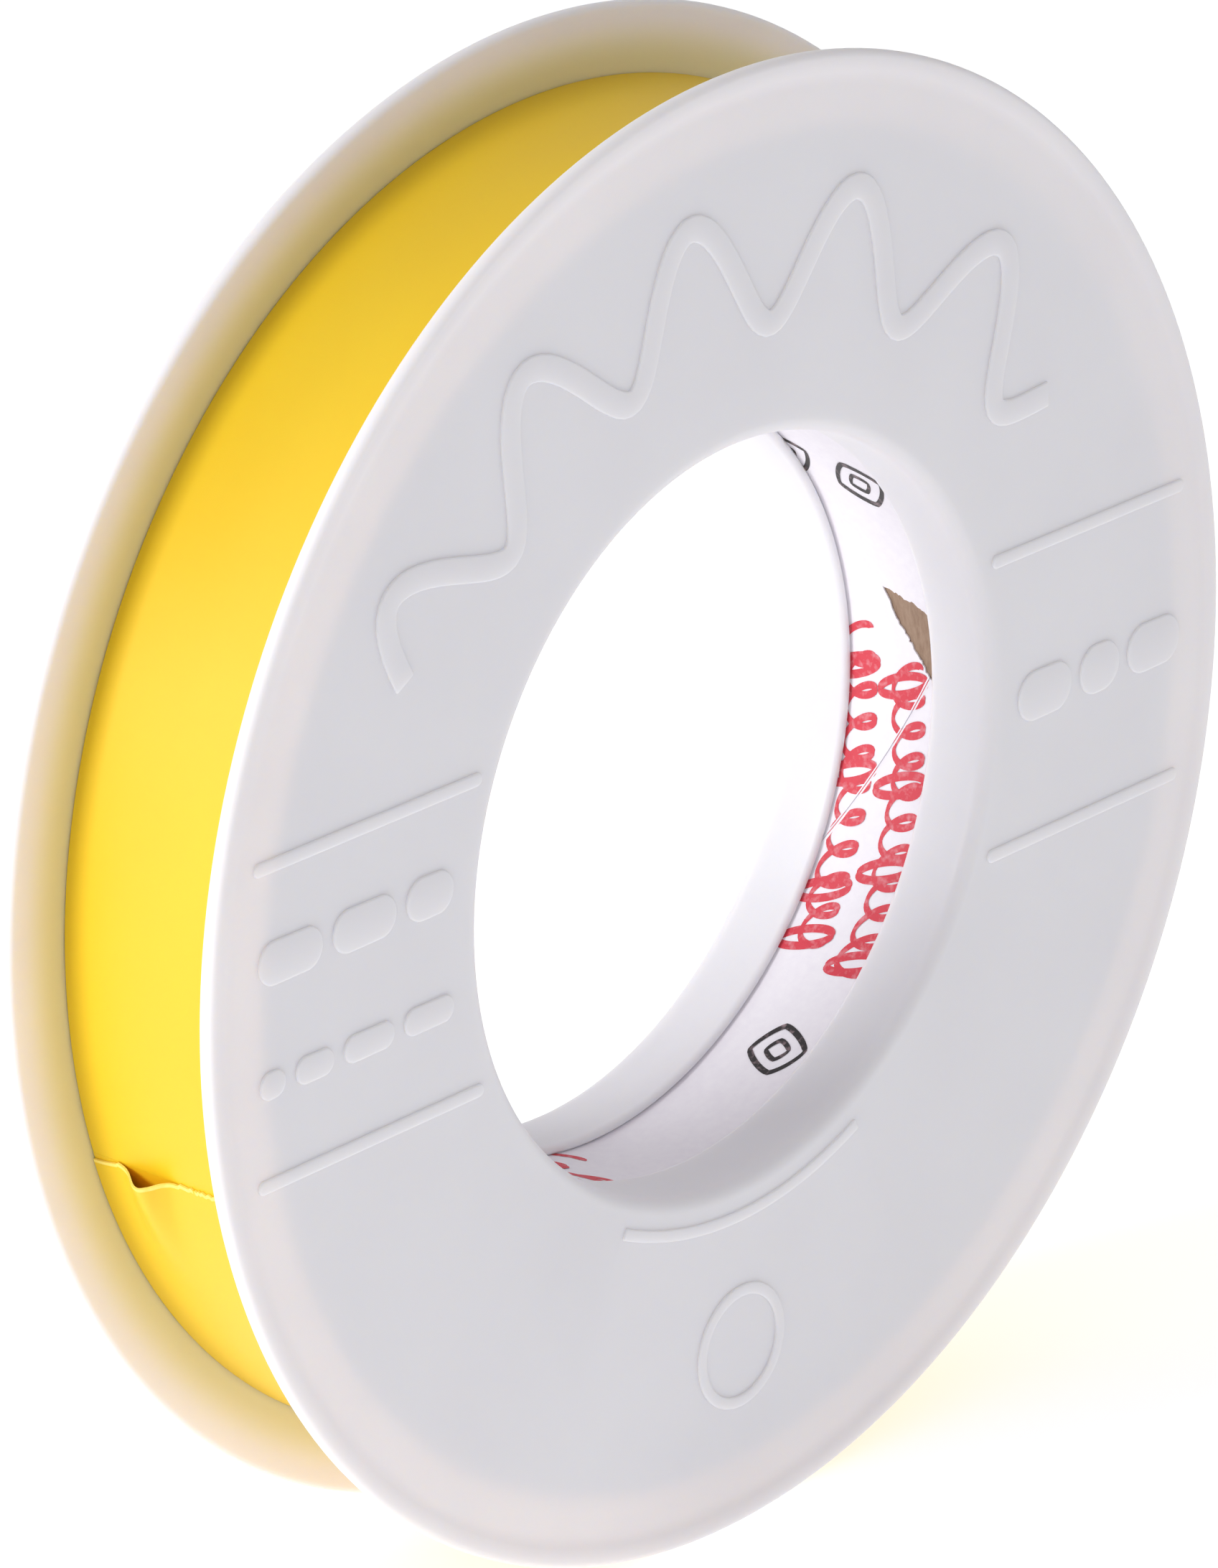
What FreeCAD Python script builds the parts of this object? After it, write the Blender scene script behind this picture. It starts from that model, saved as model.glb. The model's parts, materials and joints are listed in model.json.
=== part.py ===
import FreeCAD, Part
import math
import os

# Roll of PVC electrical tape. The tape is wound on a paper core, and the same moulded plastic side
# disc is plugged into both ends of the core. Millimetres. The roll stands on the rims of its discs:
# its axis is Y, +Z is up, the front disc faces -Y and the origin is the middle of the roll.
# Angles around the axis are in degrees, from +X towards +Z.

# ---- driving dimensions -------------------------------------------------------------------------

# tape
TAPE_WIDTH = 15.0
RIM_MARGIN = 4.458         # from the outer turn to the rim of the discs; this winding holds 25 m
FILM = 0.13
ADHESIVE = 0.02
END_ANGLE = 197.5          # where the cut end of the tape lies on the roll
LIFTED_ARC = 36.0          # stretch of the outer turn that is peeled by hand
END_SEGMENTS = 3           # hinged pieces that this stretch bends in
PEEL_CLEARANCE = 0.03      # between the peeled stretch and the turn below it

# paper core: a printed liner inside, then three wound plies of board
CORE_BORE = 50.0
LINER = 0.12
PLY = 0.46
PLY_NAMES = ["core_ply_inner", "core_ply_middle", "core_ply_outer"]

# the liner is a strip wound on a slant, so its butt seam crosses the core at an angle
SEAM_ANGLE = 348.6         # where the seam crosses the middle of the core
SEAM_SLOPE = 27.5          # between the seam and the direction round the core
SEAM_GAP = 0.08

# tear beside the seam, which bares the board: where it is, upwards round the core from the middle
# of the seam, and its outline from there as (upwards round the core, along the core)
TEAR_RISE = 8.25
TEAR_OUTLINE = [(3.3, 0.4), (2.7, -1.4), (2.0, -3.0), (1.5, -4.2),
                (-3.3, -4.2), (-2.6, -2.9), (-1.7, -2.3), (0.6, -0.7)]

# side discs
DISC_DIAMETER = 96.0
FLANGE = 0.85
COLLAR_WALL = 0.67
COLLAR_LENGTH = 4.95       # from the face of the disc to the inner end of the collar
COLLAR_LEAD = 0.2          # chamfer that starts the collar into the core
BORE_ROUND = 1.0           # rounding between the face and the bore
DISC_PLAY = 0.05           # between a disc and the side of the tape
COLLAR_PLAY = 0.03         # between a collar and the core, on the radius

# bead around the rim
BEAD_WIDTH = 1.7
BEAD_HEIGHT = 0.2
BEAD_SLOPE = 0.5           # run of the slope from the face up to the bead
BEAD_OUTER_ROUND = 0.45
BEAD_INNER_ROUND = 0.25

# raised marks on the face of a disc
RELIEF = 0.15
RELIEF_ROOT = 0.3          # how far a mark is rooted in the flange
MARK_INSET = 1.2           # between a mark and the bead
MARK_GAP = 0.9             # between a mark and the bore's rounding, and between two marks
BAR_WIDTH = 0.9
BAR_LEVEL = 10.0           # height of a bar above or below the axis
RIBBON_WIDTH = 1.8
RIBBON_SWING = 4.0
RIBBON_START = 34.0
RIBBON_END = 150.0
RIBBON_WAVES = 5
ARC_WIDTH = 0.8
ARC_START = 245.0
ARC_END = 295.0
RING_RADIUS = 3.8
RING_WIDTH = 0.8

# rows of dashes between the bars, from left to right: side of the bore, height of the row over the
# axis, height of a dash, and how long its dashes are beside each other
DASH_ROWS = [(-1, 3.9, 2.8, [4, 4, 3]), (-1, -3.7, 1.8, [2, 3, 4, 4]), (1, -0.2, 3.4, [4, 3, 4])]

# ---- sizes that follow --------------------------------------------------------------------------

TAPE = FILM + ADHESIVE
HALF_TAPE = TAPE_WIDTH / 2
LINER_RADIUS = CORE_BORE / 2
BOARD_RADIUS = LINER_RADIUS + LINER
CORE_RADIUS = BOARD_RADIUS + PLY * len(PLY_NAMES)
TAPE_RADIUS = DISC_DIAMETER / 2 - RIM_MARGIN
ROOT_ANGLE = END_ANGLE + LIFTED_ARC

DISC_RADIUS = DISC_DIAMETER / 2
FLANGE_INSIDE = HALF_TAPE + DISC_PLAY
FACE = FLANGE_INSIDE + FLANGE
BEAD_TOP = FACE + BEAD_HEIGHT
COLLAR_OUTSIDE = LINER_RADIUS - COLLAR_PLAY
BORE_RADIUS = COLLAR_OUTSIDE - COLLAR_WALL
COLLAR_END = FACE - COLLAR_LENGTH
BEAD_START = DISC_RADIUS - BEAD_WIDTH
FACE_START = BORE_RADIUS + BORE_ROUND
MARK_START = FACE_START + MARK_GAP
MARK_END = BEAD_START - MARK_INSET
MARK_MIDDLE = (MARK_START + MARK_END) / 2

AXIS = FreeCAD.Vector(0, 1, 0)
ORIGIN = FreeCAD.Vector(0, 0, 0)


# ---- helpers ------------------------------------------------------------------------------------

def polar(radius, angle, y=0.0, centre=ORIGIN):
    """Point at a radius and an angle around the roll's axis, or around an axis beside it."""
    turn = math.radians(angle)
    return FreeCAD.Vector(centre.x + radius * math.cos(turn), y, centre.z + radius * math.sin(turn))


def arc(centre, radius, start, end, y):
    """Edge along a circle from one angle to another."""
    points = [polar(radius, angle, y, centre) for angle in (start, (start + end) / 2, end)]
    return Part.Arc(*points).toShape()


def line(start, end):
    return Part.LineSegment(start, end).toShape()


def tube(inner, outer, low, high):
    """Tube around the roll's axis between two places along it."""
    base = FreeCAD.Vector(0, low, 0)
    wall = Part.makeCylinder(outer, high - low, base, AXIS)
    return wall.cut(Part.makeCylinder(inner, high - low, base, AXIS))


def across_tape(edges):
    """Solid as wide as the tape, from edges that lie in its front side."""
    face = Part.Face(Part.Wire(Part.__sortEdges__(edges)))
    return face.extrude(FreeCAD.Vector(0, TAPE_WIDTH, 0))


# ---- tape ---------------------------------------------------------------------------------------
# A turn is two half circles. Their centres lie half a thickness apart on the line through the tape's
# end, so each turn ends one thickness further in, tangent all the way, like a wound spiral.

FAR_ANGLE = END_ANGLE + 180
LAST_ANGLE = END_ANGLE + 360
SECOND_CENTRE = polar(-TAPE / 2, END_ANGLE)


def layer(start, depth_out, depth_in):
    """Stretch of the outer turn from an angle to its end, between two depths under its surface."""
    outer = TAPE_RADIUS - depth_out
    inner = TAPE_RADIUS - depth_in
    shift = TAPE / 2
    y = -HALF_TAPE
    return across_tape([
        arc(ORIGIN, outer, start, FAR_ANGLE, y),
        arc(SECOND_CENTRE, outer - shift, FAR_ANGLE, LAST_ANGLE, y),
        line(polar(outer - shift, LAST_ANGLE, y, SECOND_CENTRE),
             polar(inner - shift, LAST_ANGLE, y, SECOND_CENTRE)),
        arc(SECOND_CENTRE, inner - shift, FAR_ANGLE, LAST_ANGLE, y),
        arc(ORIGIN, inner, start, FAR_ANGLE, y),
        line(polar(inner, start, y), polar(outer, start, y)),
    ])


def winding():
    """All the turns under the outer one, on the core, with the step where the outer turn ends."""
    outer = TAPE_RADIUS - TAPE
    shift = TAPE / 2
    y = -HALF_TAPE
    spiral = across_tape([
        arc(ORIGIN, outer, END_ANGLE, FAR_ANGLE, y),
        arc(SECOND_CENTRE, outer - shift, FAR_ANGLE, LAST_ANGLE, y),
        line(polar(outer - shift, LAST_ANGLE, y, SECOND_CENTRE), polar(outer, END_ANGLE, y)),
    ])
    core = Part.makeCylinder(CORE_RADIUS, TAPE_WIDTH, FreeCAD.Vector(0, -HALF_TAPE, 0), AXIS)
    return spiral.cut(core)


def end_piece(number, depth_out, depth_in):
    """One hinged piece of the peeled stretch, between two depths under its surface."""
    start = ROOT_ANGLE - number * LIFTED_ARC / END_SEGMENTS
    end = start + LIFTED_ARC / END_SEGMENTS
    outer = TAPE_RADIUS + PEEL_CLEARANCE - depth_out
    inner = TAPE_RADIUS + PEEL_CLEARANCE - depth_in
    y = -HALF_TAPE
    return across_tape([
        arc(ORIGIN, outer, start, end, y),
        line(polar(outer, end, y), polar(inner, end, y)),
        arc(ORIGIN, inner, start, end, y),
        line(polar(inner, start, y), polar(outer, start, y)),
    ])


def tape_pieces():
    pieces = {
        "tape_winding": winding(),
        "tape_outer_turn": layer(ROOT_ANGLE, 0, FILM),
        "tape_outer_turn_adhesive": layer(ROOT_ANGLE, FILM, TAPE),
    }
    for number in range(1, END_SEGMENTS + 1):
        pieces[f"tape_end_{number}"] = end_piece(number, 0, FILM)
        pieces[f"tape_end_{number}_adhesive"] = end_piece(number, FILM, TAPE)
    return pieces


# ---- core ---------------------------------------------------------------------------------------

def through_wall(outline, angle):
    """Cutter through the core's wall at an angle, from an outline of (round the core, along it)."""
    points = [FreeCAD.Vector(0, along, up) for up, along in outline]
    cutter = Part.Face(Part.makePolygon(points + points[:1])).extrude(
        FreeCAD.Vector(CORE_RADIUS, 0, 0))
    cutter.rotate(ORIGIN, AXIS, -angle)
    return cutter


def liner():
    """Paper liner, open along its slanted seam and at the tear."""
    slope = math.radians(SEAM_SLOPE)
    reach = TAPE_WIDTH / math.sin(slope)
    run = (reach * math.cos(slope), -reach * math.sin(slope))
    step = (SEAM_GAP / 2 * math.sin(slope), SEAM_GAP / 2 * math.cos(slope))
    corners = [(-1, -1), (1, -1), (1, 1), (-1, 1)]
    seam = [(a * run[0] / 2 + b * step[0], a * run[1] / 2 + b * step[1]) for a, b in corners]
    tear_angle = SEAM_ANGLE + math.degrees(TEAR_RISE / LINER_RADIUS)
    paper = tube(LINER_RADIUS, BOARD_RADIUS, -HALF_TAPE, HALF_TAPE)
    return paper.cut([through_wall(seam, SEAM_ANGLE), through_wall(TEAR_OUTLINE, tear_angle)])


def core_pieces():
    pieces = {"core_liner": liner()}
    for number, name in enumerate(PLY_NAMES):
        inner = BOARD_RADIUS + number * PLY
        pieces[name] = tube(inner, inner + PLY, -HALF_TAPE, HALF_TAPE)
    return pieces


# ---- side discs ---------------------------------------------------------------------------------

def disc_section():
    """Half section of a disc: collar, face, bead and rim. X is the radius and -Y faces outwards."""
    def at(radius, out):
        return FreeCAD.Vector(radius, -out, 0)

    def rounded(radius, out, size, toward_x, toward_out, start_on_x):
        """Quarter circle about a centre, from one side of it to the next."""
        on_x = at(radius + toward_x * size, out)
        on_out = at(radius, out + toward_out * size)
        diagonal = size * math.sqrt(0.5)
        middle = at(radius + toward_x * diagonal, out + toward_out * diagonal)
        ends = (on_x, on_out) if start_on_x else (on_out, on_x)
        return Part.Arc(ends[0], middle, ends[1]).toShape()

    bore_centre = FACE - BORE_ROUND
    outer_round = min(BEAD_OUTER_ROUND, (BEAD_TOP - FLANGE_INSIDE) / 2)
    inner_round = min(BEAD_INNER_ROUND, (BEAD_TOP - FLANGE_INSIDE) / 3)
    rim_out = BEAD_TOP - outer_round
    rim_in = FLANGE_INSIDE + inner_round
    lead = min(COLLAR_LEAD, COLLAR_WALL / 2)
    return Part.Wire([
        line(at(BORE_RADIUS, COLLAR_END), at(BORE_RADIUS, bore_centre)),
        rounded(FACE_START, bore_centre, BORE_ROUND, -1, 1, True),
        line(at(FACE_START, FACE), at(BEAD_START, FACE)),
        line(at(BEAD_START, FACE), at(BEAD_START + BEAD_SLOPE, BEAD_TOP)),
        line(at(BEAD_START + BEAD_SLOPE, BEAD_TOP), at(DISC_RADIUS - outer_round, BEAD_TOP)),
        rounded(DISC_RADIUS - outer_round, rim_out, outer_round, 1, 1, False),
        line(at(DISC_RADIUS, rim_out), at(DISC_RADIUS, rim_in)),
        rounded(DISC_RADIUS - inner_round, rim_in, inner_round, 1, -1, True),
        line(at(DISC_RADIUS - inner_round, FLANGE_INSIDE), at(COLLAR_OUTSIDE, FLANGE_INSIDE)),
        line(at(COLLAR_OUTSIDE, FLANGE_INSIDE), at(COLLAR_OUTSIDE, COLLAR_END + lead)),
        line(at(COLLAR_OUTSIDE, COLLAR_END + lead), at(COLLAR_OUTSIDE - lead, COLLAR_END)),
        line(at(COLLAR_OUTSIDE - lead, COLLAR_END), at(BORE_RADIUS, COLLAR_END)),
    ])


def raised(edges):
    """Mark on the front face, from edges around it in the plane of its root."""
    outline = Part.Wire(Part.__sortEdges__(edges))
    return Part.Face(outline).extrude(FreeCAD.Vector(0, -(RELIEF_ROOT + RELIEF), 0))


def dash(start, end, level, width):
    """Level bar with round ends, between two places across the face."""
    y = RELIEF_ROOT - FACE
    half = width / 2
    left = FreeCAD.Vector(min(start, end) + half, y, level)
    right = FreeCAD.Vector(max(start, end) - half, y, level)
    up = FreeCAD.Vector(0, 0, half)
    out = FreeCAD.Vector(half, 0, 0)
    return raised([
        line(left + up, right + up),
        Part.Arc(right + up, right + out, right - up).toShape(),
        line(right - up, left - up),
        Part.Arc(left - up, left - out, left + up).toShape(),
    ])


def dash_row(side, level, width, lengths):
    """Dashes in a row that fills the face between the bore and the bead."""
    inner = math.sqrt(max(MARK_START ** 2 - level ** 2, 0))
    outer = math.sqrt(MARK_END ** 2 - level ** 2) - MARK_INSET
    ordered = lengths if side > 0 else lengths[::-1]
    scale = (outer - inner - MARK_GAP * len(lengths)) / sum(lengths)
    dashes = []
    start = inner + MARK_GAP
    for length in ordered:
        end = start + max(length * scale, width * 1.05)
        dashes.append(dash(side * start, side * end, level, width))
        start = end + MARK_GAP
    return dashes


def ribbon():
    """Plain wavy ribbon that runs over the bore."""
    y = RELIEF_ROOT - FACE
    steps = RIBBON_WAVES * 8
    sides = []
    for offset in (-RIBBON_WIDTH / 2, RIBBON_WIDTH / 2):
        side = []
        for step in range(steps + 1):
            turn = 2 * math.pi * RIBBON_WAVES * step / steps
            radius = MARK_MIDDLE + RIBBON_SWING * math.sin(turn) + offset
            side.append(polar(radius, RIBBON_END - (RIBBON_END - RIBBON_START) * step / steps, y))
        sides.append(side)
    curves = [Part.BSplineCurve() for side in sides]
    for curve, side in zip(curves, sides):
        curve.interpolate(side)
    ends = [line(sides[0][place], sides[1][place]) for place in (0, -1)]
    return raised([curve.toShape() for curve in curves] + ends)


def arc_mark():
    """Thin raised arc under the bore."""
    y = RELIEF_ROOT - FACE
    inner = MARK_START
    outer = inner + ARC_WIDTH
    return raised([
        arc(ORIGIN, outer, ARC_START, ARC_END, y),
        line(polar(outer, ARC_END, y), polar(inner, ARC_END, y)),
        arc(ORIGIN, inner, ARC_START, ARC_END, y),
        line(polar(inner, ARC_START, y), polar(outer, ARC_START, y)),
    ])


def ring_mark():
    """Raised ring low on the face."""
    base = FreeCAD.Vector(0, RELIEF_ROOT - FACE, -MARK_MIDDLE)
    height = RELIEF_ROOT + RELIEF
    outer = Part.makeCylinder(RING_RADIUS + RING_WIDTH / 2, height, base, -AXIS)
    return outer.cut(Part.makeCylinder(RING_RADIUS - RING_WIDTH / 2, height, base, -AXIS))


def face_marks():
    """Bars left and right of the bore with dashes between them, a ribbon above, a ring below."""
    marks = [ribbon(), arc_mark(), ring_mark()]
    bar_start = math.sqrt(max(MARK_START ** 2 - BAR_LEVEL ** 2, 0))
    bar_end = math.sqrt(MARK_END ** 2 - BAR_LEVEL ** 2)
    for side in (-1, 1):
        for level in (-BAR_LEVEL, BAR_LEVEL):
            marks.append(dash(side * bar_start, side * bar_end, level, BAR_WIDTH))
    for row in DASH_ROWS:
        marks += dash_row(*row)
    return marks


def side_disc():
    """Moulded side disc, facing -Y: flange with a rounded rim bead, and the collar in one piece."""
    body = Part.Face(disc_section()).revolve(ORIGIN, AXIS, 360)
    return body.fuse(face_marks()).removeSplitter()


def disc_pieces():
    front = side_disc()
    rear = front.copy()
    rear.rotate(ORIGIN, FreeCAD.Vector(0, 0, 1), 180)
    return {"front_disc": front, "rear_disc": rear}


# ---- build --------------------------------------------------------------------------------------

def main():
    os.makedirs("parts", exist_ok=True)
    pieces = {**core_pieces(), **tape_pieces(), **disc_pieces()}
    for name, shape in pieces.items():
        solids = shape.Solids
        solid = solids[0] if len(solids) == 1 else shape
        solid.exportStep(os.path.join("parts", name + ".step"))
        box = solid.BoundBox
        print(f"{name:26s} solids {len(solids)} valid {solid.isValid()} volume {solid.Volume:10.2f} "
              f"x {box.XMin:.2f}..{box.XMax:.2f} y {box.YMin:.2f}..{box.YMax:.2f} "
              f"z {box.ZMin:.2f}..{box.ZMax:.2f}")


main()
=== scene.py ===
import json
import math
import random

import bpy
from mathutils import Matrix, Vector


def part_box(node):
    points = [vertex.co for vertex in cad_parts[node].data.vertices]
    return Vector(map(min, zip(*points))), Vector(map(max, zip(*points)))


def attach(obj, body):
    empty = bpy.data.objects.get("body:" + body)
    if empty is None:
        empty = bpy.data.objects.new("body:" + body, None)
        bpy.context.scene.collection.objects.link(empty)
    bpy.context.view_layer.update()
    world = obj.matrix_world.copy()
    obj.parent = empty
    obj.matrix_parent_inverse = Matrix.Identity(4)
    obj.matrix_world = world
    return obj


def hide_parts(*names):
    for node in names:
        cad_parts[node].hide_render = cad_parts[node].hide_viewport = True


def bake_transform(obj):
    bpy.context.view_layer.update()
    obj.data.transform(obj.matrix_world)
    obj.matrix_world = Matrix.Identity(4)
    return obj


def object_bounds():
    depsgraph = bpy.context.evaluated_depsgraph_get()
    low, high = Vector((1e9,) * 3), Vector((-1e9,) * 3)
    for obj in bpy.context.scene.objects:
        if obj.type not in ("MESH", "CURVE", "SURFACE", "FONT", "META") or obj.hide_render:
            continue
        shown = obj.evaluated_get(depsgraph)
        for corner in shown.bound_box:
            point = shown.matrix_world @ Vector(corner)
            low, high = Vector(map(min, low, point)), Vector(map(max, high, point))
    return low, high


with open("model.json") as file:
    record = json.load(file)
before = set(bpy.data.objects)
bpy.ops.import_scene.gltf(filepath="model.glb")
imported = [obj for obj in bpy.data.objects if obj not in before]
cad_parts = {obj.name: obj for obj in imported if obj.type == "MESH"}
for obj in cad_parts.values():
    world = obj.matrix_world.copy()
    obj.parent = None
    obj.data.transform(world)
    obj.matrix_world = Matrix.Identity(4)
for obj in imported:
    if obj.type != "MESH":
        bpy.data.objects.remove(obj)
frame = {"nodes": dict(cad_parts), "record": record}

cad_low, cad_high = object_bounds()
bpy.ops.object.select_all(action="DESELECT")
MM = 0.001

# ---- Side discs ----
# The same injection-moulded polypropylene disc is used at both ends: a thin flange with a rounded
# bead around its rim, and a short collar that is pushed into the paper core. Its face carries
# moulded bars, dashes, a ribbon and a ring, a little over a tenth of a millimetre proud.

disc_low, disc_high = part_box("front_disc")
rim_radius = disc_high.x
bead_top = -disc_low.y
collar_end = -disc_high.y
bore_mount = next(m for m in frame["record"]["mounts"] if m["name"] == "spindle_bore")
bore_radius = bore_mount["dims"]["r_mm"] * MM
collar_wall = 0.67 * MM
collar_chamfer = 0.2 * MM
bead_height = 0.2 * MM
bead_slope = 0.7 * MM
bead_width = 1.7 * MM
flange = 0.85 * MM
bore_round = 1.0 * MM
relief = 0.16 * MM
relief_root = 0.3 * MM
relief_round = 0.12 * MM
spin_steps = 240
collar_radius = bore_radius + collar_wall
face = bead_top - bead_height
flange_inside = face - flange
weld = MM / 1000


def select_only(*objects):
    """Selects these objects, with the first one active."""
    bpy.ops.object.select_all(action="DESELECT")
    for item in objects:
        item.select_set(True)
    bpy.context.view_layer.objects.active = objects[0]


def pick(test, parts="vertices"):
    """In edit mode, selects the vertices, edges or faces that pass a test of their place."""
    bpy.ops.mesh.select_all(action="DESELECT")
    bpy.ops.object.mode_set(mode="OBJECT")
    mesh = bpy.context.object.data
    for part in getattr(mesh, parts):
        if parts == "vertices":
            part.select = test(part.co)
        elif parts == "edges":
            part.select = all(test(mesh.vertices[i].co) for i in part.vertices)
        else:
            part.select = test(part.center)
    bpy.ops.object.mode_set(mode="EDIT")


def draw_outline(name, points):
    """Closed chain of edges, drawn by extruding one point from corner to corner."""
    bpy.ops.mesh.primitive_plane_add(size=MM)
    outline = bpy.context.object
    outline.name = name
    bpy.ops.object.mode_set(mode="EDIT")
    bpy.ops.mesh.select_mode(type="VERT")
    bpy.ops.mesh.merge(type="CENTER")
    bpy.ops.transform.translate(value=points[0])
    for start, end in zip(points, points[1:] + points[:1]):
        bpy.ops.mesh.extrude_region_move(TRANSFORM_OT_translate={"value": end - start})
    bpy.ops.mesh.select_all(action="SELECT")
    bpy.ops.mesh.remove_doubles(threshold=weld)
    return outline


def round_corner(corner, radius, segments):
    """Rounds one corner of the outline that is being drawn."""
    pick(lambda co: (co - corner).length < 10 * weld)
    bpy.ops.mesh.bevel(offset=radius, segments=segments, affect="VERTICES")


def spin_outline(steps, angle=math.tau, centre=(0, 0, 0)):
    """Turns the outline around an axis along Y into a closed ring, or an arc with closed ends."""
    bpy.ops.mesh.select_all(action="SELECT")
    if angle < math.tau:
        bpy.ops.mesh.edge_face_add()
    bpy.ops.mesh.spin(steps=steps, angle=angle, center=centre, axis=(0, 1, 0))
    bpy.ops.mesh.select_all(action="SELECT")
    bpy.ops.mesh.remove_doubles(threshold=weld)
    bpy.ops.mesh.normals_make_consistent(inside=False)
    bpy.ops.object.mode_set(mode="OBJECT")


def shaped_grid(name, cells, place):
    """Grid whose every vertex is moved to where a formula puts it, from its place (0 to 1)."""
    bpy.ops.mesh.primitive_grid_add(x_subdivisions=cells[0], y_subdivisions=cells[1], size=1)
    grid = bpy.context.object
    grid.name = name
    for vertex in grid.data.vertices:
        vertex.co = place(vertex.co.x + 0.5, vertex.co.y + 0.5)
    return grid


def modify(target, kind, **settings):
    """Adds a modifier and applies it."""
    select_only(target)
    bpy.ops.object.modifier_add(type=kind)
    modifier = target.modifiers[-1]
    for key, value in settings.items():
        setattr(modifier, key, value)
    bpy.ops.object.modifier_apply(modifier=modifier.name)


def finish_piece(piece, angle=30):
    """Puts the piece's place into its mesh, with its origin at the roll's middle; smooths it."""
    select_only(piece)
    bpy.ops.object.transform_apply(location=True, rotation=True, scale=True)
    bpy.ops.object.shade_smooth_by_angle(angle=math.radians(angle))


def at(radius, out):
    """Point of the disc's section at a radius, and so far out from the roll's middle."""
    return Vector((radius, -out, 0))


face_start = bore_radius + bore_round
bead_start = rim_radius - bead_width
corners = {
    "bore_edge": at(bore_radius, face),
    "bead_foot": at(bead_start, face),
    "bead_shoulder": at(bead_start + bead_slope, bead_top),
    "rim_outer": at(rim_radius, bead_top),
    "rim_inner": at(rim_radius, flange_inside),
    "flange_root": at(collar_radius, flange_inside),
    "collar_lead": at(collar_radius, collar_end + collar_chamfer),
    "collar_tip": at(collar_radius - collar_chamfer, collar_end),
    "collar_bore": at(bore_radius, collar_end),
}
front_disc = draw_outline("front_disc_moulding", list(corners.values()))
round_corner(corners["bore_edge"], bore_round, 8)
round_corner(corners["bead_foot"], 0.35 * MM, 4)
round_corner(corners["bead_shoulder"], 0.3 * MM, 4)
round_corner(corners["rim_outer"], 0.45 * MM, 6)
round_corner(corners["rim_inner"], 0.4 * MM, 5)
round_corner(corners["collar_bore"], 0.42 * MM, 5)
spin_outline(spin_steps)

mark_gap = 0.9 * MM
mark_inset = 1.2 * MM
mark_start = face_start + mark_gap
mark_end = bead_start - mark_inset
mark_middle = (mark_start + mark_end) / 2
mark_low = -(face - relief_root)
mark_top = -(face + relief)
bar_level = 10.0 * MM
marks = []


def raised_dash(start, end, level, width):
    """Level bar with round ends, from a short cylinder whose one half is pulled along."""
    left, right = min(start, end) + width / 2, max(start, end) - width / 2
    bpy.ops.mesh.primitive_cylinder_add(
        vertices=32, radius=width / 2, depth=mark_low - mark_top,
        location=(left, (mark_low + mark_top) / 2, level), rotation=(math.pi / 2, 0, 0))
    dash = bpy.context.object
    bpy.ops.object.transform_apply(location=True, rotation=True, scale=True)
    bpy.ops.object.mode_set(mode="EDIT")
    pick(lambda co: co.x > left + weld)
    bpy.ops.transform.translate(value=(right - left, 0, 0))
    bpy.ops.object.mode_set(mode="OBJECT")
    marks.append(dash)


def dash_row(side, level, width, lengths):
    """Dashes that fill the face between the bore and the bead, with gaps between them."""
    inner = math.sqrt(mark_start ** 2 - level ** 2)
    outer = math.sqrt(mark_end ** 2 - level ** 2) - mark_inset
    scale = (outer - inner - mark_gap * len(lengths)) / sum(lengths)
    start = inner + mark_gap
    for length in lengths if side > 0 else lengths[::-1]:
        raised_dash(side * start, side * (start + length * scale), level, width)
        start += length * scale + mark_gap


for side in (-1, 1):
    for level in (-bar_level, bar_level):
        raised_dash(side * math.sqrt(mark_start ** 2 - level ** 2),
                    side * math.sqrt(mark_end ** 2 - level ** 2), level, 0.9 * MM)
dash_row(-1, 3.9 * MM, 2.8 * MM, [4, 4, 3])
dash_row(-1, -3.7 * MM, 1.8 * MM, [2, 3, 4, 4])
dash_row(1, -0.2 * MM, 3.4 * MM, [4, 3, 4])

for name, radius, width, centre, first, sweep, steps in (
        ("ring_mark", 3.8, 0.8, (0, 0, -mark_middle), 0, math.tau, 64),
        ("arc_mark", mark_start / MM + 0.4, 0.8, (0, 0, 0), -245, math.radians(50), 40)):
    inner, outer = (radius - width / 2) * MM, (radius + width / 2) * MM
    section = [Vector((inner, mark_low, 0)), Vector((inner, mark_top, 0)),
               Vector((outer, mark_top, 0)), Vector((outer, mark_low, 0))]
    mark = draw_outline(name, [corner + Vector(centre) for corner in section])
    spin_outline(steps, sweep, centre)
    mark.rotation_euler.y = math.radians(first)
    marks.append(mark)

ribbon_width, ribbon_swing, ribbon_waves = 1.7 * MM, 4.0 * MM, 5
ribbon_start, ribbon_end = math.radians(150), math.radians(34)


def ribbon_line(share):
    """Middle of the wavy ribbon over the bore, at a share of its length."""
    angle = ribbon_start + (ribbon_end - ribbon_start) * share
    radius = mark_middle + ribbon_swing * math.sin(math.tau * ribbon_waves * share)
    return Vector((radius * math.cos(angle), mark_low, radius * math.sin(angle)))


def ribbon_place(u, v):
    """Point of the ribbon, square to its middle line."""
    near = 0.001
    along = (ribbon_line(u + near) - ribbon_line(u - near)).normalized()
    across = Vector((along.z, 0, -along.x))
    return ribbon_line(u) + across * ribbon_width * (v - 0.5)


ribbon = shaped_grid("ribbon_mark", (150, 1), ribbon_place)
modify(ribbon, "SOLIDIFY", thickness=mark_low - mark_top, offset=-1)
marks.append(ribbon)

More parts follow.
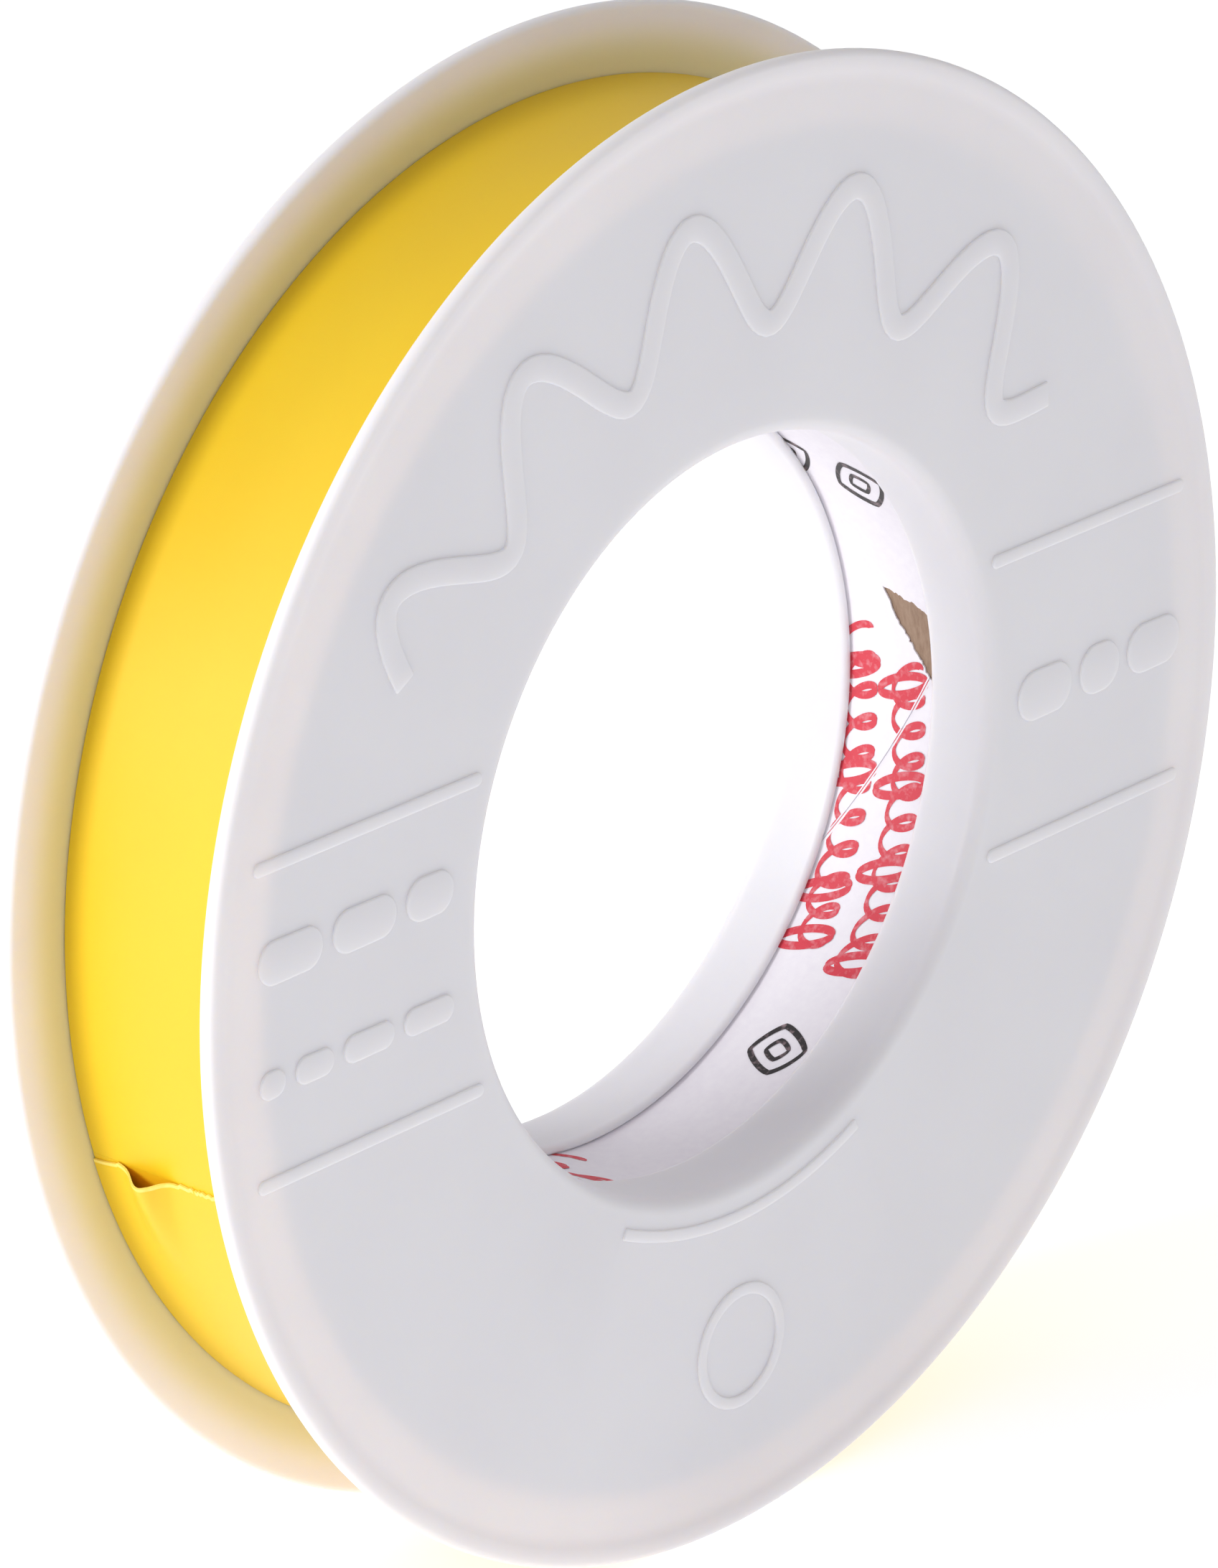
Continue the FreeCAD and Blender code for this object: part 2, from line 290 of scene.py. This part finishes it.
for mark in marks:
    select_only(mark)
    bpy.ops.object.transform_apply(location=True, rotation=True, scale=True)
    bpy.ops.object.mode_set(mode="EDIT")
    bpy.ops.mesh.select_all(action="SELECT")
    bpy.ops.mesh.normals_make_consistent(inside=False)
    bpy.ops.mesh.select_mode(type="EDGE")
    bpy.ops.mesh.select_all(action="DESELECT")
    bpy.ops.mesh.edges_select_sharp(sharpness=math.radians(50))
    bpy.ops.object.mode_set(mode="OBJECT")
    for edge in mark.data.edges:
        heights = [mark.data.vertices[i].co.y for i in edge.vertices]
        edge.select = edge.select and max(heights) < mark_top + weld
    bpy.ops.object.mode_set(mode="EDIT")
    bpy.ops.mesh.bevel(offset=relief_round, segments=3, affect="EDGES")
    bpy.ops.object.mode_set(mode="OBJECT")

select_only(*marks)
bpy.ops.object.join()
raised_marks = bpy.context.object
modify(front_disc, "BOOLEAN", operation="UNION", solver="EXACT", object=raised_marks)
bpy.data.objects.remove(raised_marks)
finish_piece(front_disc)

select_only(front_disc)
bpy.ops.object.duplicate()
rear_disc = bpy.context.object
rear_disc.name = "rear_disc_moulding"
rear_disc.rotation_euler.z = math.pi
finish_piece(rear_disc)


def colour(code):
    """Linear colour from an sRGB hex value."""
    values = [int(code[i:i + 2], 16) / 255 for i in (1, 3, 5)]
    linear = [v / 12.92 if v <= 0.04045 else ((v + 0.055) / 1.055) ** 2.4 for v in values]
    return (*linear, 1.0)


def add_node(material, kind, settings=None, inputs=None):
    """Adds a node, with its settings and with its inputs set or linked."""
    node = material.node_tree.nodes.new(kind)
    for key, value in (settings or {}).items():
        setattr(node, key, value)
    for key, value in (inputs or {}).items():
        if isinstance(value, bpy.types.NodeSocket):
            material.node_tree.links.new(value, node.inputs[key])
        else:
            node.inputs[key].default_value = value
    return node


def new_material(name):
    """Material with nodes and nothing in it but the object's coordinates."""
    material = bpy.data.materials.new(name)
    material.use_nodes = True
    material.node_tree.nodes.clear()
    place = add_node(material, "ShaderNodeTexCoord").outputs["Object"]
    return material, place


def close_material(material, shader):
    """Gives the material its output."""
    add_node(material, "ShaderNodeOutputMaterial", {}, {"Surface": shader.outputs[0]})


# Moulded white polypropylene: satin, with a faint spark-eroded grain and slow waves from the mould.
# The wall lets some light through. Inside the groove its colour carries painted yellow bounce light
# from the tape and painted shade, most next to the tape.
polypropylene, place = new_material("moulded_white_polypropylene")
grain = add_node(polypropylene, "ShaderNodeTexNoise", {},
                 {"Vector": place, "Scale": 2600.0, "Detail": 3.0, "Roughness": 0.6})
waves = add_node(polypropylene, "ShaderNodeTexNoise", {},
                 {"Vector": place, "Scale": 90.0, "Detail": 2.0, "Roughness": 0.5})
parts = add_node(polypropylene, "ShaderNodeSeparateXYZ", {}, {"Vector": place})
across = add_node(polypropylene, "ShaderNodeCombineXYZ", {},
                  {"X": parts.outputs["X"], "Z": parts.outputs["Z"]})
radius = add_node(polypropylene, "ShaderNodeVectorMath", {"operation": "LENGTH"},
                  {0: across.outputs["Vector"]})
depth = add_node(polypropylene, "ShaderNodeMath", {"operation": "ABSOLUTE"},
                 {0: parts.outputs["Y"]})
near_tape = add_node(polypropylene, "ShaderNodeMapRange", {"interpolation_type": "SMOOTHSTEP"},
                     {"Value": radius.outputs["Value"], "From Min": 44.2 * MM,
                      "From Max": 47.2 * MM, "To Min": 1.0, "To Max": 0.0})
inner_side = add_node(polypropylene, "ShaderNodeMapRange", {"interpolation_type": "SMOOTHSTEP"},
                      {"Value": depth.outputs["Value"], "From Min": 7.6 * MM,
                       "From Max": 7.9 * MM, "To Min": 1.0, "To Max": 0.0})
# Mask of the painted yellow bounce light and painted shade: the groove side of the rim, strongest
# next to the tape, not over the core.
painted_bounce_and_shade = add_node(polypropylene, "ShaderNodeMath", {"operation": "MULTIPLY"},
                 {0: near_tape.outputs["Result"], 1: inner_side.outputs["Result"]})
over_core = add_node(polypropylene, "ShaderNodeMath", {"operation": "GREATER_THAN"},
                     {0: radius.outputs["Value"], 1: 26.0 * MM})
painted_bounce_and_shade = add_node(polypropylene, "ShaderNodeMath", {"operation": "MULTIPLY"},
                 {0: painted_bounce_and_shade.outputs["Value"], 1: over_core.outputs["Value"]})
tone = add_node(polypropylene, "ShaderNodeMix", {"data_type": "RGBA"},
                {"Factor": waves.outputs["Fac"], "A": colour("#E4E2E6"), "B": colour("#EBE9EC")})
# Mixes the painted yellow bounce light and painted shade from the tape into the disc's colour.
tone = add_node(polypropylene, "ShaderNodeMix", {"data_type": "RGBA"},
                {"Factor": painted_bounce_and_shade.outputs["Value"], "A": tone.outputs["Result"],
                 "B": colour("#DAD6B0")})
satin = add_node(polypropylene, "ShaderNodeMapRange", {},
                 {"Value": grain.outputs["Fac"], "To Min": 0.36, "To Max": 0.5})
fine = add_node(polypropylene, "ShaderNodeBump", {},
                {"Strength": 0.12, "Distance": 0.02 * MM, "Height": grain.outputs["Fac"]})
slow = add_node(polypropylene, "ShaderNodeBump", {},
                {"Strength": 0.25, "Distance": 0.15 * MM, "Height": waves.outputs["Fac"],
                 "Normal": fine.outputs["Normal"]})
plastic = add_node(polypropylene, "ShaderNodeBsdfPrincipled",
                   {"subsurface_method": "RANDOM_WALK"},
                   {"Base Color": tone.outputs["Result"], "Roughness": satin.outputs["Result"],
                    "IOR": 1.49, "Subsurface Weight": 1.0, "Subsurface Radius": (1.0, 0.9, 0.75),
                    "Subsurface Scale": 1.1 * MM, "Normal": slow.outputs["Normal"]})
close_material(polypropylene, plastic)

for disc, body, node in ((front_disc, "front_side", "front_disc"),
                         (rear_disc, "rear_side", "rear_disc")):
    disc.data.materials.clear()
    disc.data.materials.append(polypropylene)
    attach(disc, body)
    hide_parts(node)

# ---- Board of the core ----
# Three plies of grey-brown recycled board, wound and glued into a tube and cut to the tape's width
# together with it. Fibres run round the tube and its cut ends are rough.

board, place = new_material("recycled_core_board")
stretched = add_node(board, "ShaderNodeMapping", {},
                     {"Vector": place, "Scale": (1.0, 4.0, 1.0)})
fibres = add_node(board, "ShaderNodeTexNoise", {},
                  {"Vector": stretched.outputs["Vector"], "Scale": 900.0, "Detail": 6.0,
                   "Roughness": 0.7})
blots = add_node(board, "ShaderNodeTexNoise", {}, {"Vector": place, "Scale": 220.0, "Detail": 3.0})
shade = add_node(board, "ShaderNodeMix", {"data_type": "RGBA"},
                 {"Factor": fibres.outputs["Fac"], "A": colour("#86654F"), "B": colour("#CDB39C")})
shade = add_node(board, "ShaderNodeMix", {"data_type": "RGBA", "blend_type": "MULTIPLY"},
                 {"Factor": 0.25, "A": shade.outputs["Result"], "B": blots.outputs["Fac"]})
rough = add_node(board, "ShaderNodeBump", {},
                 {"Strength": 0.8, "Distance": 0.12 * MM, "Height": fibres.outputs["Fac"]})
card = add_node(board, "ShaderNodeBsdfPrincipled", {},
                {"Base Color": shade.outputs["Result"], "Roughness": 0.92, "IOR": 1.5,
                 "Normal": rough.outputs["Normal"]})
close_material(board, card)
for name in ("core_ply_inner", "core_ply_middle", "core_ply_outer"):
    frame["nodes"][name].data.materials.clear()
    frame["nodes"][name].data.materials.append(board)

# ---- Paper liner ----
# A strip of white coated paper, wound on a slant inside the board, so its butt seam crosses the
# core at an angle. Beside the seam it is torn and bares the board. It is printed in red and black.

liner_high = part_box("core_liner")[1]
paper = 0.12 * MM
liner_radius = liner_high.x - paper
half_width = liner_high.y
seam_angle, seam_slope = math.radians(348.6), math.radians(27.5)
seam_gap = 0.08 * MM
edge_lift = 0.10 * MM
edge_lift_run = 0.5 * MM
cockle_height = 0.03 * MM
tear_angle = math.radians(7.5)
tear_wander = 0.09
rng = random.Random(7)


def on_core(arc, along, radius):
    """Point inside the core: so far round it from +X, so far along it, at a radius."""
    angle = arc / liner_radius
    return Vector((radius * math.cos(angle), along, radius * math.sin(angle)))


def liner_place(u, v):
    """The strip starts at one side of the seam and ends at the other, and it stands off there."""
    along = half_width * (2 * v - 1)
    seam = seam_angle - along / (math.tan(seam_slope) * liner_radius)
    gap = seam_gap / math.sin(seam_slope) / liner_radius
    angle = seam + gap / 2 + u * (math.tau - gap)
    lift = edge_lift * math.exp(-min(u, 1 - u) * math.tau * liner_radius / edge_lift_run)
    lift += cockle_height * math.sin(angle * 9 + along / MM * 0.5)
    return on_core(angle * liner_radius, along, liner_radius - abs(lift))


liner = shaped_grid("printed_liner", (300, 20), liner_place)
modify(liner, "SOLIDIFY", thickness=paper * 0.9, offset=-1)

tear_outline = [(3.3, 0.4), (3.0, -0.5), (2.7, -1.4), (2.5, -2.2), (2.0, -3.0), (1.5, -4.2),
                (-3.3, -4.2), (-2.6, -2.9), (-1.7, -2.3), (-1.1, -1.8), (-0.2, -1.3), (0.6, -0.7),
                (1.9, -0.1)]
ragged = []
for (arc, along), (next_arc, next_along) in zip(tear_outline, tear_outline[1:] + tear_outline[:1]):
    for share in (0, 0.2, 0.4, 0.6, 0.8):
        side = along + (next_along - along) * share + rng.uniform(-tear_wander, tear_wander)
        rise = arc + (next_arc - arc) * share + rng.uniform(-tear_wander, tear_wander)
        ragged.append(Vector((liner_radius * 0.9, side * MM, rise * MM)))
tear = draw_outline("tear_cutter", ragged)
bpy.ops.mesh.edge_face_add()
bpy.ops.mesh.extrude_region_move(TRANSFORM_OT_translate={"value": (liner_radius * 0.2, 0, 0)})
bpy.ops.mesh.select_all(action="SELECT")
bpy.ops.mesh.normals_make_consistent(inside=False)
bpy.ops.object.mode_set(mode="OBJECT")
tear.rotation_euler.y = -tear_angle
modify(liner, "BOOLEAN", operation="DIFFERENCE", solver="EXACT", object=tear)
bpy.data.objects.remove(tear)
finish_piece(liner, 40)

# Coated white paper: matt, a little lilac, with fine fibres and a soft cockle.
coated_paper, place = new_material("coated_white_liner_paper")
pulp = add_node(coated_paper, "ShaderNodeTexNoise", {},
                {"Vector": place, "Scale": 1500.0, "Detail": 5.0, "Roughness": 0.65})
cockle = add_node(coated_paper, "ShaderNodeTexNoise", {},
                  {"Vector": place, "Scale": 260.0, "Detail": 2.0})
white = add_node(coated_paper, "ShaderNodeMix", {"data_type": "RGBA"},
                 {"Factor": pulp.outputs["Fac"], "A": colour("#E9E5EE"), "B": colour("#F6F4F8")})
fold = add_node(coated_paper, "ShaderNodeBump", {},
                {"Strength": 0.35, "Distance": 0.08 * MM, "Height": cockle.outputs["Fac"]})
sheet = add_node(coated_paper, "ShaderNodeBsdfPrincipled", {},
                 {"Base Color": white.outputs["Result"], "Roughness": 0.55, "IOR": 1.5,
                  "Normal": fold.outputs["Normal"]})
close_material(coated_paper, sheet)
liner.data.materials.clear()
liner.data.materials.append(coated_paper)
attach(liner, "roll")
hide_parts("core_liner")

# The print: two rows of a plain looping pen line in red, which repeat round the liner, and small
# plain frames in black. The ink is a film that lies just over the paper's cockles.
ink_radius = liner_radius - 0.05 * MM
slant = 0.35


def printed(name, line, width, steps, closed=False):
    """Stroke of ink along a line (round the core, along it) in millimetres."""
    def place(u, v):
        before, after = line(u - 0.5 / steps), line(u + 0.5 / steps)
        run = (after - before).normalized()
        side = Vector((-run.y, run.x)) * width * (0.55 + 0.6 * abs(run.y)) * (v - 0.5)
        point = line(u) + side
        return on_core(point.x * MM, point.y * MM, ink_radius)

    stroke = shaped_grid(name, (steps, 1), place)
    if closed:
        bpy.ops.object.mode_set(mode="EDIT")
        bpy.ops.mesh.select_all(action="SELECT")
        bpy.ops.mesh.remove_doubles(threshold=MM / 200)
        bpy.ops.object.mode_set(mode="OBJECT")
    return stroke


def pen_line(start, end, heights):
    """Slanting loops of a pen that runs from one point to another, one loop for each height."""
    def line(share):
        turn = max(0.0, min(share, 1.0)) * len(heights)
        low = min(int(turn), len(heights) - 1)
        following = heights[min(low + 1, len(heights) - 1)]
        height = heights[low] + (following - heights[low]) * (turn - low)
        rise = height * (0.5 - 0.5 * math.cos(math.tau * turn)) - 1.3
        swing = Vector((0.8 * math.sin(math.tau * turn) - slant * rise, rise))
        return start + (end - start) * share + swing
    return line


def tall_loop(middle):
    """Narrow slanting loop, taller than the rest of the row."""
    def line(share):
        turn = math.tau * share
        rise = 1.9 * math.sin(turn)
        return middle + Vector((0.62 * math.cos(turn) - slant * rise, rise))
    return line


def frame_line(middle, radius, tilt):
    """Outline of a rounded diamond."""
    def line(share):
        turn = math.tau * share
        squareness = 1.3
        reach = radius / (abs(math.cos(turn)) ** squareness
                          + abs(math.sin(turn)) ** squareness) ** (1 / squareness)
        return middle + Vector((reach * math.cos(turn + tilt), reach * math.sin(turn + tilt)))
    return line


def arc_of(angle):
    """Millimetres round the core at an angle in degrees."""
    return math.radians(angle) * liner_radius / MM


red_strokes = []
pen, loop_pen = 0.46, 0.52
heights = [2.9, 2.1, 2.5, 2.2, 2.6, 2.0, 2.4, 2.2, 2.7, 2.1]
for turn in range(3):
    shift = arc_of(-105 * turn)
    for row, first, last in (("a", (6, 3.0), (-42, 1.7)), ("b", (1.5, -1.0), (-44, -2.8))):
        first = Vector((arc_of(first[0]) + shift, first[1]))
        last = Vector((arc_of(last[0]) + shift, last[1]))
        order = heights if row == "a" else heights[::-1]
        red_strokes.append(printed(f"red_row_{row}", pen_line(first, last, order), pen, 300))
        for share in ((0.12, 0.46, 0.83, 0.99) if row == "a" else (0.05, 0.38, 0.66, 0.98)):
            middle = first + (last - first) * share + Vector((0, 0.3))
            red_strokes.append(printed("red_tall_loop", tall_loop(middle), loop_pen, 48,
                                       closed=True))
select_only(*red_strokes)
bpy.ops.object.join()
red_print = bpy.context.object
red_print.name = "liner_print_red"

black_strokes = []
for angle, along in ((36, -0.9), (40, 4.3), (-60, -0.9), (-170, 0.5), (140, -1.0), (90, 2.0)):
    middle = Vector((arc_of(angle), along))
    black_strokes.append(printed("frame", frame_line(middle, 1.95, 0.3), 0.4, 64, closed=True))
    black_strokes.append(printed("frame_core", frame_line(middle, 0.8, 0.3), 0.34, 40, closed=True))
select_only(*black_strokes)
bpy.ops.object.join()
black_print = bpy.context.object
black_print.name = "liner_print_black"

# Flexo ink on coated paper: flat in tone, with spots where the plate was starved and paper shows.
for print_piece, code, name in ((red_print, "#D63B4B", "red_flexo_ink"),
                                (black_print, "#2B2729", "black_flexo_ink")):
    ink, place = new_material(name)
    starved = add_node(ink, "ShaderNodeTexNoise", {},
                       {"Vector": place, "Scale": 2200.0, "Detail": 4.0})
    thin = add_node(ink, "ShaderNodeMapRange", {},
                    {"Value": starved.outputs["Fac"], "From Min": 0.5, "From Max": 0.75,
                     "To Max": 0.35})
    tint = add_node(ink, "ShaderNodeMix", {"data_type": "RGBA"},
                    {"Factor": thin.outputs["Result"], "A": colour(code), "B": colour("#E9C9D0")})
    dried = add_node(ink, "ShaderNodeBsdfPrincipled", {},
                    {"Base Color": tint.outputs["Result"], "Roughness": 0.5, "IOR": 1.5})
    close_material(ink, dried)
    finish_piece(print_piece)
    print_piece.data.materials.clear()
    print_piece.data.materials.append(ink)
    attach(print_piece, "roll")

# ---- Wound tape ----
# Calendered plasticised PVC film, yellow right through, wound under tension with its rubber
# adhesive inwards. The sides of the winding show the turns as fine rings.

tape_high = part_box("tape_outer_turn")[1]
film, adhesive = 0.13 * MM, 0.02 * MM
tape = film + adhesive
tape_radius = tape_high.x
tape_half = tape_high.y
end_angle = math.radians(197.5)
root_angle = math.radians(197.5 + 36)
far_angle = end_angle + math.pi
end_direction = Vector((math.cos(end_angle), 0, math.sin(end_angle)))


def on_tape(angle, along, depth):
    """Point of the outer turn, at a depth under its surface. The turn is two half circles, whose
    centres lie half a thickness apart, so it ends one thickness further in than it starts."""
    centre, radius = Vector((0, 0, 0)), tape_radius - depth
    if angle > far_angle:
        centre, radius = end_direction * (-tape / 2), radius - tape / 2
    return centre + Vector((radius * math.cos(angle), along, radius * math.sin(angle)))


def outer_turn_place(u, v):
    """The outer turn runs from the root of the free end once round the roll."""
    angle = root_angle + (end_angle + math.tau - root_angle) * u
    return on_tape(angle, tape_half * (2 * v - 1), 0)


outer_turn = shaped_grid("outer_turn_film", (360, 10), outer_turn_place)
modify(outer_turn, "SOLIDIFY", thickness=film, offset=1)
finish_piece(outer_turn, 40)

# Calendered plasticised PVC: smooth and softly glossy, a strong warm yellow with a little light in
# it. The real turns are 0.15 mm apart, too fine to show, so the rings on the sides are drawn 0.6 mm
# apart.
ring_spacing = 0.6 * MM
pvc, place = new_material("calendered_yellow_pvc")
spread = add_node(pvc, "ShaderNodeSeparateXYZ", {}, {"Vector": place})
flat = add_node(pvc, "ShaderNodeCombineXYZ", {},
                {"X": spread.outputs["X"], "Z": spread.outputs["Z"]})
distance = add_node(pvc, "ShaderNodeVectorMath", {"operation": "LENGTH"},
                    {0: flat.outputs["Vector"]})
turns = add_node(pvc, "ShaderNodeMath", {"operation": "MULTIPLY"},
                 {0: distance.outputs["Value"], 1: math.tau / ring_spacing})
rings = add_node(pvc, "ShaderNodeMath", {"operation": "SINE"}, {0: turns.outputs["Value"]})
haze = add_node(pvc, "ShaderNodeTexNoise", {}, {"Vector": place, "Scale": 70.0, "Detail": 3.0})
speck = add_node(pvc, "ShaderNodeTexNoise", {},
                 {"Vector": place, "Scale": 1800.0, "Detail": 3.0, "Roughness": 0.6})
yellow = add_node(pvc, "ShaderNodeMix", {"data_type": "RGBA"},
                  {"Factor": haze.outputs["Fac"], "A": colour("#F3C113"), "B": colour("#F8CA1E")})
gloss = add_node(pvc, "ShaderNodeMapRange", {},
                 {"Value": haze.outputs["Fac"], "To Min": 0.38, "To Max": 0.5})
ringed = add_node(pvc, "ShaderNodeBump", {},
                  {"Strength": 0.2, "Distance": 0.03 * MM, "Height": rings.outputs["Value"]})
orange_peel = add_node(pvc, "ShaderNodeBump", {},
                       {"Strength": 0.12, "Distance": 0.02 * MM, "Height": speck.outputs["Fac"],
                        "Normal": ringed.outputs["Normal"]})
vinyl = add_node(pvc, "ShaderNodeBsdfPrincipled", {"subsurface_method": "RANDOM_WALK"},
                 {"Base Color": yellow.outputs["Result"], "Roughness": gloss.outputs["Result"],
                  "IOR": 1.53, "Subsurface Weight": 0.3, "Subsurface Radius": (1.0, 0.62, 0.12),
                  "Subsurface Scale": 0.5 * MM, "Normal": orange_peel.outputs["Normal"]})
close_material(pvc, vinyl)

# Natural rubber adhesive: a thin tacky coat on the yellow film, so it is as yellow as the film, a
# little deeper and much glossier.
tack, place = new_material("natural_rubber_adhesive")
ripple = add_node(tack, "ShaderNodeTexNoise", {}, {"Vector": place, "Scale": 400.0, "Detail": 4.0})
amber = add_node(tack, "ShaderNodeMix", {"data_type": "RGBA"},
                 {"Factor": ripple.outputs["Fac"], "A": colour("#F4BE1C"), "B": colour("#F7C82C")})
coat = add_node(tack, "ShaderNodeBump", {},
                {"Strength": 0.3, "Distance": 0.05 * MM, "Height": ripple.outputs["Fac"]})
gum = add_node(tack, "ShaderNodeBsdfPrincipled", {},
               {"Base Color": amber.outputs["Result"], "Roughness": 0.22, "IOR": 1.52,
                "Subsurface Weight": 0.3, "Subsurface Radius": (1.0, 0.6, 0.1),
                "Subsurface Scale": 0.4 * MM, "Normal": coat.outputs["Normal"]})
close_material(tack, gum)

# Where the film is torn through it is stretched, so its edge is paler.
torn, place = new_material("stretched_pvc_edge")
crazing = add_node(torn, "ShaderNodeTexNoise", {},
                   {"Vector": place, "Scale": 3000.0, "Detail": 3.0})
pale = add_node(torn, "ShaderNodeMix", {"data_type": "RGBA"},
                {"Factor": crazing.outputs["Fac"], "A": colour("#FBDD55"), "B": colour("#FFEB8A")})
frayed = add_node(torn, "ShaderNodeBsdfPrincipled", {},
                  {"Base Color": pale.outputs["Result"], "Roughness": 0.6, "IOR": 1.53})
close_material(torn, frayed)

outer_turn.data.materials.clear()
outer_turn.data.materials.append(pvc)
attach(outer_turn, "roll")
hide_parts("tape_outer_turn")
for name, finish in (("tape_winding", pvc), ("tape_outer_turn_adhesive", tack)):
    frame["nodes"][name].data.materials.clear()
    frame["nodes"][name].data.materials.append(finish)

# ---- Free end of the tape ----
# The last stretch of the outer turn, torn off by hand: its end is ragged, and a pleat stands up
# beside the rear disc and fades down the tape. It is built in three stretches of film and adhesive.

segments = 3
step_angle = (root_angle - end_angle) / segments
peel_gap = 0.004 * MM
torn_edge = 0.2 * MM
grid_cell = 0.25 * MM
middle_angles = [root_angle - step_angle * (k + 0.5) for k in range(segments)]
stops = [root_angle, middle_angles[0], middle_angles[1], end_angle]
tooth = [rng.uniform(-1, 1) for _ in range(200)]


def pleat(angle, along):
    """Height of the pleat over the turn below. Its crest runs slightly towards the rear disc as it
    fades, and its front side is the steeper one."""
    down = (angle - end_angle) * tape_radius / MM
    fade = min(1.0, max(0.0, 1 - down / 9.8))
    off = along / MM - (2.55 + 0.13 * down)
    spread = 1.56 - 0.06 * down if off > 0 else 1.05 + 0.03 * down
    return 1.42 * MM * fade ** 1.4 * math.exp(-((off / spread) ** 2))


def ragged_edge(along):
    """How far the torn edge stands out over its mean line, round the roll."""
    where = (along / tape_half + 1) / 2 * (len(tooth) - 1)
    low = int(where)
    high = min(low + 1, len(tooth) - 1)
    wild = tooth[low] + (tooth[high] - tooth[low]) * (where - low)
    strength = 0.13 if -4.0 < along / MM < 0.9 else 0.02
    return (strength * wild - 0.3 * max(0.0, along / MM - 5.4) ** 0.5) * MM


def end_place(first, last, depth):
    """Places a stretch of the free end between two angles, at a depth under its surface."""
    def place(u, v):
        along = tape_half * (2 * v - 1)
        angle = first + (last - first) * u
        if last == end_angle:
            angle -= ragged_edge(along) / tape_radius * max(0.0, (u - 0.8) / 0.2)
        radius = tape_radius + peel_gap - depth + pleat(angle, along)
        return Vector((radius * math.cos(angle), along, radius * math.sin(angle)))
    return place


for number in range(segments):
    first, last = stops[number], stops[number + 1]
    cells = (max(12, round((first - last) * tape_radius / grid_cell)), 100)
    bend_start = root_angle if number == 0 else middle_angles[number - 1]
    bend_end = middle_angles[number]
    for kind, depth, thickness, finish, slot in (
            ("film", 0, film, pvc, "tape_film"),
            ("adhesive", film, adhesive, tack, "tape_adhesive")):
        piece = shaped_grid(f"peeled_{kind}_{number + 1}", cells, end_place(first, last, depth))
        piece.data.materials.append(finish)
        if kind == "film" and last == end_angle:
            piece.data.materials.append(torn)
            for cell in piece.data.polygons:
                angle = math.atan2(cell.center.z, cell.center.x) % math.tau
                if (angle - end_angle) * tape_radius + ragged_edge(cell.center.y) < torn_edge:
                    cell.material_index = 1
        modify(piece, "SOLIDIFY", thickness=thickness, offset=-1)
        finish_piece(piece, 50)
        on_tape(bend_start, 0, 0)
        on_tape(bend_end, 0, 0)
        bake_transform(piece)
        suffix = "" if kind == "film" else "_adhesive"
        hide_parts(f"tape_end_{number + 1}{suffix}")

# ---- Studio ----
# A plain pale table top under the standing roll, a soft light on the left, a weaker one behind and
# above, and a bright even surround.

bpy.ops.mesh.primitive_plane_add(size=8.0, location=(0, 0, cad_low.z))
table = bpy.context.object
table.name = "table_top"
laminate, place = new_material("pale_table_laminate")
top = add_node(laminate, "ShaderNodeBsdfPrincipled", {},
               {"Base Color": colour("#F4F4F5"), "Roughness": 0.6, "IOR": 1.45,
                "Emission Color": colour("#FFFFFF"), "Emission Strength": 0.5})
close_material(laminate, top)
table.data.materials.append(laminate)

world = bpy.data.worlds.new("bright_surround")
bpy.context.scene.world = world
world.use_nodes = True
world.node_tree.nodes["Background"].inputs["Color"].default_value = colour("#FDFDFF")
world.node_tree.nodes["Background"].inputs["Strength"].default_value = 0.54

for name, place, size, power in (
        ("key_left", (-0.67, 0.18, 0.24), 0.22, 2.9),
        ("back_light", (-0.30, 0.75, 0.30), 0.3, 0.7)):
    bpy.ops.object.light_add(type="AREA", location=place)
    light = bpy.context.object
    light.name = name
    light.data.size = size
    light.data.energy = power
    light.rotation_euler = Vector(place).to_track_quat("Z", "Y").to_euler()

# A long lens, level, looking slightly down on the roll from its front left.
azimuth, elevation = math.radians(-49.18), math.radians(21.59)
away = Vector((math.sin(azimuth) * math.cos(elevation),
               -math.cos(azimuth) * math.cos(elevation), math.sin(elevation)))
aim = Vector((-2.93, 0, 1.04)) * MM
reach = 540.1 * MM
bpy.ops.object.camera_add(location=aim + away * reach,
                          rotation=away.to_track_quat("Z", "Y").to_euler())
camera = bpy.context.object
camera.data.lens = 200.9
camera.data.sensor_width = 36.0
camera.data.clip_start = 0.01
bpy.context.scene.camera = camera
bpy.context.scene.view_settings.view_transform = "Standard"
